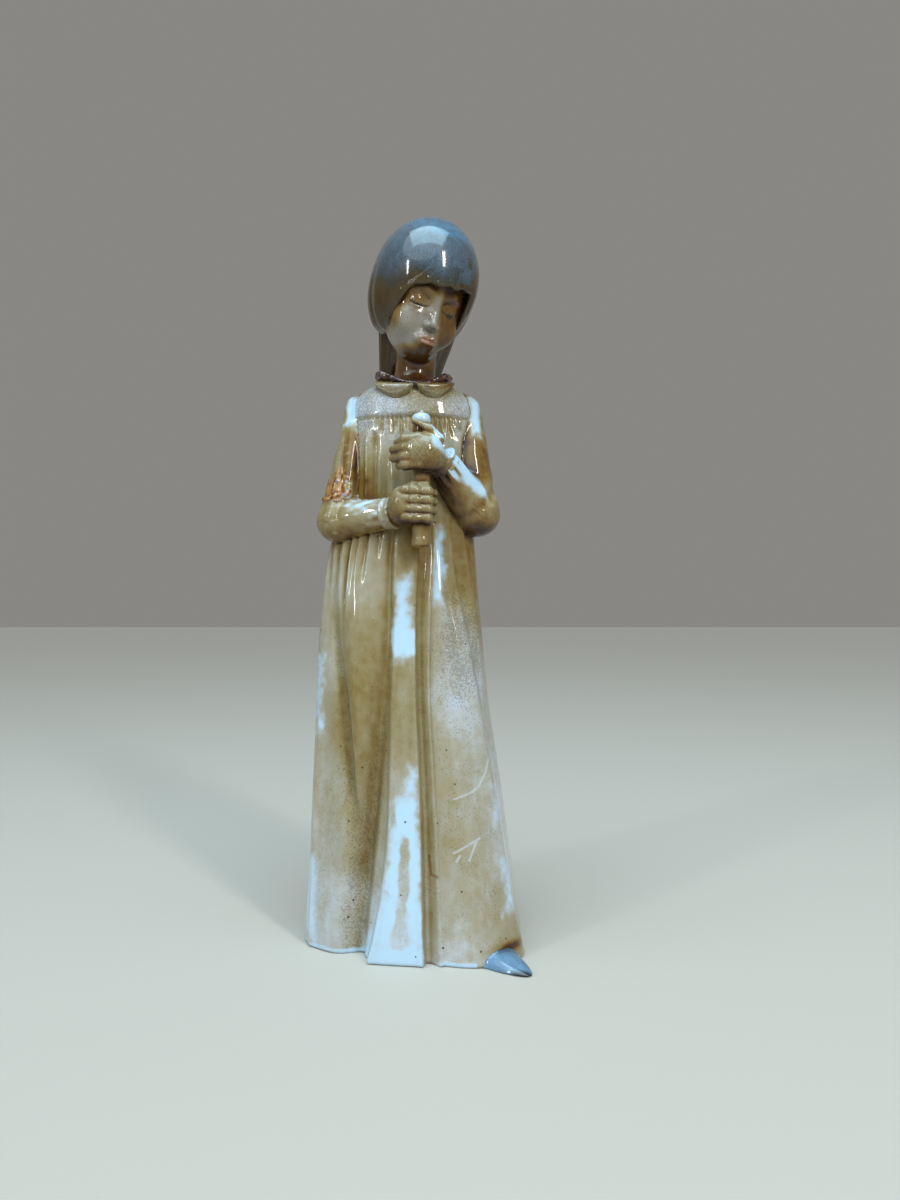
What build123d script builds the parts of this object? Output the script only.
"""Porcelain figurine: a girl in a long nightgown, holding a candle in both hands.

The figurine is built from the separate castings that a potter lutes together with slip before
firing: a hollow dress, a disc that closes it underneath, a hollow head, the hair, two sleeves
with cuffs, two hands, the candle and its wick, a two-piece collar and the toe of a slipper.
Two beads of old adhesive belong to it as well, one round the neck and one at the right elbow.

Millimetres, +Z up, standing on Z = 0.  The girl looks along -Y, so +X is at the viewer's right
and her own right arm is on the -X side.  The castings are laid out about a working axis near the
neck, and the finished figurine is then moved so that the middle of its base box is the origin.
"""

import math
import os

from build123d import *

os.makedirs("parts", exist_ok=True)

# ---------------------------------------------------------------- driving dimensions
WALL = 3.0  # thickness of the slip-cast walls
SEAT = 1.5  # how far the base disc sits above the foot ring
BASE_DISC = 3.0  # thickness of the base disc
VENT_RADIUS = 3.0  # hole in the disc that lets the air out in the kiln
VENT_PLACE = (-2.0, -1.0)
RING_POINTS = 60  # points round each section of the dress
INNER_FOLD = 0.6  # the inside of the cast wall follows the folds this much
CAVITY_TOP = 148.0  # the hollow ends here, under the shoulders

# The dress, from hem to neckline: height, leftmost X, rightmost X, front Y, back Y.
DRESS = [
    (0, -33.9, 30.0, -25.5, 24.0),
    (8, -33.3, 28.8, -24.9, 23.6),
    (25, -32.0, 26.6, -23.4, 22.0),
    (45, -30.9, 24.0, -21.2, 19.6),
    (68, -29.8, 20.5, -18.4, 16.6),
    (90, -29.2, 18.4, -15.6, 13.6),
    (105, -28.2, 17.0, -13.8, 11.8),
    (115, -26.6, 16.0, -12.8, 11.0),
    (126, -23.0, 15.2, -12.4, 10.8),
    (138, -21.2, 15.4, -12.4, 11.2),
    (148, -20.6, 16.0, -11.8, 11.8),
    (155, -20.2, 16.0, -10.6, 11.0),
    (159, -18.4, 14.0, -9.6, 9.8),
    (161.5, -14.8, 10.8, -8.8, 8.8),
    (163.2, -9.6, 6.0, -8.0, 8.0),
]
DRESS_MIDDLE_Y = -1.0

# Folds of the dress.  Each row is height, angle from the front towards +X, half width (degrees)
# and how far the fold stands out (mm), and each row is blended with the next one up.
FOLDS = {
    "centre_pleat": [(0, -9, 12, 3.2), (25, -8, 11, 2.6), (68, -3.5, 9, 1.6), (115, -2, 8, 0.5)],
    "deep_valley": [(0, -33, 8, -6.5), (25, -27, 8, -5.5), (68, -16, 6, -2.0), (110, -14, 5, -0.8)],
    "knee_valley": [(25, -34, 6, -1.0), (45, -41, 7, -2.4), (68, -48, 7, -2.2), (105, -56, 7, -0.8)],
    "knee": [(20, -29, 8, 0), (45, -30, 9, 1.2), (68, -32, 12, 2.0), (95, -34, 13, 1.4), (118, -34, 12, 0)],
    "left_edge": [(0, -62, 16, 1.2), (45, -68, 12, 1.6), (90, -76, 12, 0.8), (118, -76, 10, 0)],
    "toe_corner": [(0, 43, 21, 8.5), (25, 43, 21, 5.2), (45, 45, 20, 3.4), (90, 48, 16, 1.2), (118, 48, 14, 0)],
    "front_swell": [(0, 24, 14, 3.4), (25, 24, 14, 2.2), (68, 24, 12, 0)],
    "right_back": [(0, 112, 14, 2.0), (45, 112, 13, 1.3), (100, 110, 12, 0)],
    "back_left": [(0, -136, 15, 2.4), (45, -138, 13, 1.6), (100, -140, 12, 0)],
    "back_valley": [(0, 176, 16, -2.4), (45, 176, 14, -1.6), (100, 176, 12, 0)],
    "back_right": [(0, 142, 13, 1.6), (45, 142, 12, 1.1), (100, 142, 10, 0)],
}

# Arms: shoulder, elbow and wrist centres, with the sleeve's radius at each.
RIGHT_ARM = [((-17.2, 0.5, 154.9), 5.3), ((-23.6, -6.6, 121.4), 6.3), ((-11.0, -14.4, 122.9), 4.3)]
LEFT_ARM = [((13.2, 0.5, 155.2), 5.3), ((16.9, -5.4, 123.8), 6.8), ((7.8, -14.4, 136.2), 4.6)]
CUFF_LENGTH = 3.8
CUFF_STEP = 0.4  # how far a cuff stands out from its sleeve
CUFF_ROUND = 0.8

# Candle
CANDLE_X, CANDLE_Y = 1.0, -18.6
CANDLE_RADIUS = 2.6
CANDLE_BOTTOM, CANDLE_TOP = 113.2, 150.6
CANDLE_ROUND = 0.8
CANDLE_FOOT_HEIGHT, CANDLE_FOOT_STEP = 2.6, 0.25
WICK_RADIUS, WICK_HEIGHT, WICK_SOCKET = 0.7, 1.1, 2.0

# Hands: height of each fist on the candle's axis, and the pitch of its fingers.
RIGHT_HAND_Z, RIGHT_PITCH = 124.6, 2.5
LEFT_HAND_Z, LEFT_PITCH = 139.2, 2.5
FINGER_RADIUS, THUMB_RADIUS, PALM_RADIUS = 1.5, 1.4, 4.2
# Knuckle, bend and fingertip about the candle's axis: sideways towards the wrist, and in front.
FINGER_JOINTS = [(4.8, -2.4), (0.8, -4.5), (-3.4, -3.0)]

# Head
HEAD_CENTRE = (1.4, -5.6, 189.2)
HEAD_TURN, HEAD_NOD, HEAD_LEAN = 25.0, 16.0, 11.0  # about Z, X and Y, degrees
SKULL = (12.6, 14.2, 14.6)
JAW, JAW_PLACE = (9.2, 9.6, 12.0), (0, -3.6, -9.8)
NOSE, NOSE_PLACE = (1.7, 2.9, 3.4), (0, -12.8, -7.4)
NECK_FOOT, NECK_TOP = (-2.2, -0.8, 157.0), (-0.2, -3.0, 180.0)
NECK_RADIUS = 6.1
NECK_VENT_RADIUS = 2.0

# Hair: half sizes and centre of the cap, measured from the middle of the head.
HAIR, HAIR_PLACE = (15.4, 16.4, 18.4), (0, 1.2, 2.4)
FRINGE, JAWLINE = 1.0, -15.0  # heights of the fringe and of the cap's lower edge
FACE_WIDTH = 19.0
# The long hair behind the neck: height, centre X, centre Y, half width, half depth.
HAIR_FALL = [
    (150, -3.4, 10.6, 6.8, 2.2),
    (158, -3.6, 9.4, 8.6, 4.0),
    (166, -3.4, 7.2, 9.0, 6.0),
    (176, -1.5, 4.8, 10.9, 8.0),
    (187, 0.5, 2.4, 13.0, 8.2),
]

# Collar lobes: half sizes of each, and their place beside the neck.
COLLAR_MIDDLE_X, COLLAR_OUT, COLLAR_Z, COLLAR_TILT = -1.0, 5.4, 160.8, 12.0
COLLAR_LOBE, COLLAR_THICK = (6.4, 11.8, 4.6), 1.3

# Slipper
TOE_TIP, TOE_HEEL = (30.4, -35.0), (14.4, -15.6)
TOE_HALF_WIDTH, TOE_HEIGHT = 6.4, 5.6

# Adhesive
BEAD_RADIUS = 0.9
# The bead on the neckline, from one side of the neck round the front to the other.
NECK_BEAD = [
    (-12.4, -2.6, 164.6),
    (-9.6, -7.2, 164.0),
    (-5.2, -10.2, 162.4),
    (-0.8, -11.0, 161.2),
    (3.4, -10.0, 161.8),
    (6.8, -6.9, 163.4),
    (8.6, -2.4, 164.6),
]
ELBOW_BEAD_FROM, ELBOW_BEAD_TO, ELBOW_BEAD_STEPS = -80, 20, 4  # degrees round the upper arm
ELBOW_BEAD_LOW, ELBOW_BEAD_HIGH = 127.0, 130.5


# ---------------------------------------------------------------- the dress as a formula
def blended(rows, z):
    """The row of numbers at height z, blended between the rows given, whose first item is a height."""
    if z <= rows[0][0]:
        return rows[0][1:]
    for low, high in zip(rows, rows[1:]):
        if z <= high[0]:
            t = (z - low[0]) / (high[0] - low[0])
            return [a + (b - a) * t for a, b in zip(low[1:], high[1:])]
    return rows[-1][1:]


def fold_height(angle, z):
    """How far the folds push the dress out at this angle (degrees from the front) and height."""
    total = 0.0
    for rows in FOLDS.values():
        if rows[0][0] <= z <= rows[-1][0]:
            middle, half_width, height = blended(rows, z)
            away = (angle - middle + 180) % 360 - 180
            total += height * math.exp(-((away / half_width) ** 2))
    return total


def dress_point(angle, z, inset=0.0):
    """A point on the dress, or inset mm inside it."""
    left, right, front, back = blended(DRESS, z)
    s, c = math.sin(math.radians(angle)), math.cos(math.radians(angle))
    x = (right - left) / 2 * s
    y = (front - DRESS_MIDDLE_Y) * c if c > 0 else (back - DRESS_MIDDLE_Y) * -c
    follow = INNER_FOLD if inset > 0 else 1.0
    grow = 1 + (follow * fold_height(angle, z) - inset) / math.hypot(x, y)
    return Vector((left + right) / 2 + x * grow, DRESS_MIDDLE_Y + y * grow, z)


def dress_section(z, inset=0.0, lift=0.0):
    """The closed outline of the dress at height z, raised by lift."""
    up = Vector(0, 0, lift)
    ring = [dress_point(180 + 360 * i / RING_POINTS, z, inset) + up for i in range(RING_POINTS)]
    return Wire(Spline(*ring, periodic=True))


def dress_solid():
    """The dress with its inside filled."""
    return Solid.make_loft([dress_section(row[0]) for row in DRESS])


def dress_cavity():
    """The hollow that the slip leaves, open at the hem and closed under the shoulders."""
    heights = [row[0] for row in DRESS if row[0] <= CAVITY_TOP]
    return Solid.make_loft([dress_section(z, WALL) for z in heights])


# ---------------------------------------------------------------- small helpers
def ellipsoid(half_sizes, centre=(0, 0, 0)):
    """A ball stretched to these half sizes."""
    return Pos(*centre) * scale(Sphere(1), by=tuple(half_sizes))


def limb(start, start_radius, end, end_radius):
    """A round bar between two points, with flat ends, tapered where the two radii differ."""
    a, b = Vector(*start), Vector(*end)
    height = (b - a).length
    straight = start_radius == end_radius
    bar = Cylinder(start_radius, height) if straight else Cone(start_radius, end_radius, height)
    return Plane(origin=(a + b) / 2, z_dir=b - a) * bar


def ball(centre, radius):
    return Pos(*centre) * Sphere(radius)


def capsule_chain(points, radius):
    """Round bars from point to point, with a ball at each."""
    chain = ball(points[0], radius)
    for a, b in zip(points, points[1:]):
        chain += limb(a, radius, b, radius) + ball(b, radius)
    return chain


def largest(shape):
    """The biggest solid of a shape, without the crumbs that a cut can leave."""
    return max(shape.solids(), key=lambda s: s.volume)


def trimmed(shape, cutters):
    """A casting cut back to the faces of the castings it is luted to."""
    for cutter in cutters:
        shape -= cutter
    return largest(shape)


# ---------------------------------------------------------------- castings
def make_sleeve(arm):
    (shoulder, r0), (elbow, r1), (wrist, r2) = arm
    return ball(shoulder, r0) + limb(shoulder, r0, elbow, r1) + ball(elbow, r1) + limb(elbow, r1, wrist, r2)


def make_cuff(arm):
    """A turned band that closes the sleeve at the wrist."""
    (elbow, _), (wrist, radius) = arm[1], arm[2]
    direction = (Vector(*wrist) - Vector(*elbow)).normalized()
    band = Pos(0, 0, CUFF_LENGTH / 2) * Cylinder(radius + CUFF_STEP, CUFF_LENGTH)
    band = fillet(band.edges().filter_by(GeomType.CIRCLE), CUFF_ROUND)
    return Plane(origin=Vector(*wrist), z_dir=direction) * band


def candle_stick():
    """The plain round stick, as the hands see it."""
    return Pos(CANDLE_X, CANDLE_Y, (CANDLE_BOTTOM + CANDLE_TOP) / 2) * Cylinder(
        CANDLE_RADIUS, CANDLE_TOP - CANDLE_BOTTOM
    )


def make_candle():
    """The candle with its slightly thicker foot, and a socket in the top for the wick."""
    foot = Pos(CANDLE_X, CANDLE_Y, CANDLE_BOTTOM + CANDLE_FOOT_HEIGHT / 2) * Cylinder(
        CANDLE_RADIUS + CANDLE_FOOT_STEP, CANDLE_FOOT_HEIGHT
    )
    candle = candle_stick() + foot
    rims = candle.edges().filter_by(GeomType.CIRCLE).sort_by(Axis.Z)
    candle = fillet([rims[0], rims[-1]], CANDLE_ROUND)
    socket = Pos(CANDLE_X, CANDLE_Y, CANDLE_TOP - WICK_SOCKET / 2) * Cylinder(WICK_RADIUS, WICK_SOCKET)
    return candle - socket


def make_wick():
    length = WICK_HEIGHT + WICK_SOCKET
    wick = Pos(CANDLE_X, CANDLE_Y, CANDLE_TOP + WICK_HEIGHT - length / 2) * Cylinder(WICK_RADIUS, length)
    return fillet(wick.edges().filter_by(GeomType.CIRCLE).sort_by(Axis.Z)[-1], WICK_RADIUS / 2)


def make_hand(arm, height, pitch, side):
    """A fist round the candle: the back of the hand, four fingers and a thumb across the top.

    side is -1 for the hand whose wrist is on the -X side and +1 for the other one.
    """
    wrist, wrist_radius = arm[2]
    back = (CANDLE_X + side * 4.4, CANDLE_Y + 1.0, height)
    hand = limb(wrist, wrist_radius - 1.0, back, PALM_RADIUS) + ball(back, PALM_RADIUS)
    for i in range(4):
        z = height + (1.5 - i) * pitch
        joints = [(CANDLE_X + side * across, CANDLE_Y + front, z) for across, front in FINGER_JOINTS]
        hand += capsule_chain(joints, FINGER_RADIUS)
    above = height + 2.2 * pitch
    root = (CANDLE_X + side * 4.6, CANDLE_Y - 2.4, above - 2.6)
    tip = (CANDLE_X - side * 1.6, CANDLE_Y - 4.1, above + 0.8)
    return hand + capsule_chain([root, tip], THUMB_RADIUS)


def head_place():
    """Where the middle of the head is and how it is turned."""
    return Pos(*HEAD_CENTRE) * Rot(0, 0, HEAD_TURN) * Rot(HEAD_NOD, 0, 0) * Rot(0, HEAD_LEAN, 0)


def head_solid():
    """Skull, jaw, nose and neck with the inside filled."""
    place = head_place()
    face = ellipsoid(SKULL) + ellipsoid(JAW, JAW_PLACE) + ellipsoid(NOSE, NOSE_PLACE)
    return place * face + limb(NECK_FOOT, NECK_RADIUS, NECK_TOP, NECK_RADIUS)


def head_hollow():
    """The hollow of the head, open through the neck so that its air can leave."""
    hollow = head_place() * ellipsoid([half - WALL for half in SKULL])
    return hollow + limb(NECK_FOOT, NECK_RADIUS - WALL, HEAD_CENTRE, NECK_RADIUS - WALL)


def neck_vent():
    """The passage from the hollow of the head down to the hollow of the dress."""
    low = (NECK_FOOT[0], NECK_FOOT[1], CAVITY_TOP - WALL)
    return limb(low, NECK_VENT_RADIUS, NECK_FOOT, NECK_VENT_RADIUS)


def hair_volume():
    return head_place() * ellipsoid(HAIR, HAIR_PLACE)


def make_hair_cap():
    """The bobbed hair over the skull, cut away for the face below a fringe."""
    height, depth = 26.0, 26.0
    window = Pos(0, -7.0 - depth / 2, FRINGE - height / 2) * Box(FACE_WIDTH, depth, height)
    below = Pos(0, 0, JAWLINE - height / 2) * Box(60, 60, height)
    return hair_volume() - head_place() * (window + below)


def make_hair_fall():
    """The long hair behind the neck, from under the cap down to the shoulders."""
    return loft([Pos(x, y, z) * Ellipse(width, depth) for z, x, y, width, depth in HAIR_FALL])


def collar_band():
    """The whole turned-down collar before it is parted into two lobes."""
    heights = [row[0] for row in DRESS if row[0] >= CAVITY_TOP]
    return Solid.make_loft([dress_section(z, -COLLAR_THICK, COLLAR_THICK) for z in heights])


def make_collar(side, band):
    """One lobe of the collar, lying on the yoke from the back seam to the front opening."""
    middle = COLLAR_MIDDLE_X + side * COLLAR_OUT
    lobe = Pos(middle, -2.0, COLLAR_Z) * Rot(0, side * COLLAR_TILT, 0) * ellipsoid(COLLAR_LOBE)
    half = Pos(COLLAR_MIDDLE_X + side * 15.1, 0, COLLAR_Z) * Box(30, 60, 40)
    return band & lobe & half


def make_toe():
    """The toe of a slipper, showing under the hem, with its sole on the ground."""
    (tip_x, tip_y), (heel_x, heel_y) = TOE_TIP, TOE_HEEL
    angle = math.degrees(math.atan2(tip_y - heel_y, tip_x - heel_x))
    half_length = math.hypot(tip_x - heel_x, tip_y - heel_y) / 2
    shoe = ellipsoid((half_length, TOE_HALF_WIDTH, TOE_HEIGHT))
    shoe = Pos((tip_x + heel_x) / 2, (tip_y + heel_y) / 2, 0) * Rot(0, 0, angle) * shoe
    return shoe & Pos(0, 0, 20) * Box(200, 200, 40)


def make_neck_bead():
    """Old adhesive along the neckline, where the head was glued back on."""
    return capsule_chain(NECK_BEAD, BEAD_RADIUS)


def make_elbow_bead():
    """Old adhesive over the crack at the right elbow, half way round the upper arm."""
    (shoulder, r0), (elbow, r1) = RIGHT_ARM[0], RIGHT_ARM[1]
    points = []
    for i in range(ELBOW_BEAD_STEPS + 1):
        t = i / ELBOW_BEAD_STEPS
        angle = math.radians(ELBOW_BEAD_FROM + t * (ELBOW_BEAD_TO - ELBOW_BEAD_FROM))
        z = ELBOW_BEAD_LOW + t * (ELBOW_BEAD_HIGH - ELBOW_BEAD_LOW)
        down = (shoulder[2] - z) / (shoulder[2] - elbow[2])
        radius = r0 + (r1 - r0) * down
        x = shoulder[0] + (elbow[0] - shoulder[0]) * down + radius * math.sin(angle)
        y = shoulder[1] + (elbow[1] - shoulder[1]) * down - radius * math.cos(angle)
        points.append((x, y, z))
    return capsule_chain(points, BEAD_RADIUS)


# ---------------------------------------------------------------- assembly
def build():
    """Every casting of the figurine by name, about the working axis."""
    dress, cavity, head, stick = dress_solid(), dress_cavity(), head_solid(), candle_stick()
    candle = make_candle()
    parts = {"candle": candle, "wick": make_wick()}
    parts["dress_body"] = dress - cavity - head - neck_vent()

    slab = Pos(0, 0, SEAT + BASE_DISC / 2) * Box(200, 200, BASE_DISC)
    vent = Pos(*VENT_PLACE, SEAT + BASE_DISC / 2) * Cylinder(VENT_RADIUS, 2 * BASE_DISC)
    parts["base_disc"] = (cavity & slab) - vent

    arms = {
        "right": (RIGHT_ARM, RIGHT_HAND_Z, RIGHT_PITCH, -1),
        "left": (LEFT_ARM, LEFT_HAND_Z, LEFT_PITCH, 1),
    }
    done = [dress, candle, stick]
    for name, (arm, height, pitch, side) in arms.items():
        sleeve = trimmed(make_sleeve(arm), [dress])
        cuff = trimmed(make_cuff(arm), [dress, sleeve, stick])
        hand = trimmed(make_hand(arm, height, pitch, side), done + [sleeve, cuff])
        parts[f"{name}_sleeve"], parts[f"{name}_cuff"], parts[f"{name}_hand"] = sleeve, cuff, hand
        done += [sleeve, cuff, hand]

    parts["head"] = head - head_hollow()
    parts["hair_cap"] = trimmed(make_hair_cap(), [head])
    band = collar_band()
    for name, side in (("right", -1), ("left", 1)):
        parts[f"collar_{name}"] = trimmed(make_collar(side, band), [dress, head])
    collars = [parts["collar_right"], parts["collar_left"]]
    parts["hair_fall"] = trimmed(make_hair_fall(), [hair_volume(), dress, head] + collars)
    parts["slipper_toe"] = trimmed(make_toe(), [dress])
    around_neck = [head, dress, parts["hair_fall"]] + collars
    parts["neck_adhesive_bead"] = trimmed(make_neck_bead(), around_neck)
    parts["elbow_adhesive_bead"] = trimmed(make_elbow_bead(), [parts["right_sleeve"], dress])
    return parts


def centred(parts):
    """The same castings with the middle of the whole figurine's base box at the origin."""
    boxes = [part.bounding_box() for part in parts.values()]
    x = (min(box.min.X for box in boxes) + max(box.max.X for box in boxes)) / 2
    y = (min(box.min.Y for box in boxes) + max(box.max.Y for box in boxes)) / 2
    return {name: Pos(-x, -y, 0) * part for name, part in parts.items()}


if __name__ == "__main__":
    for part_name, part in centred(build()).items():
        export_step(part, f"parts/{part_name}.step")
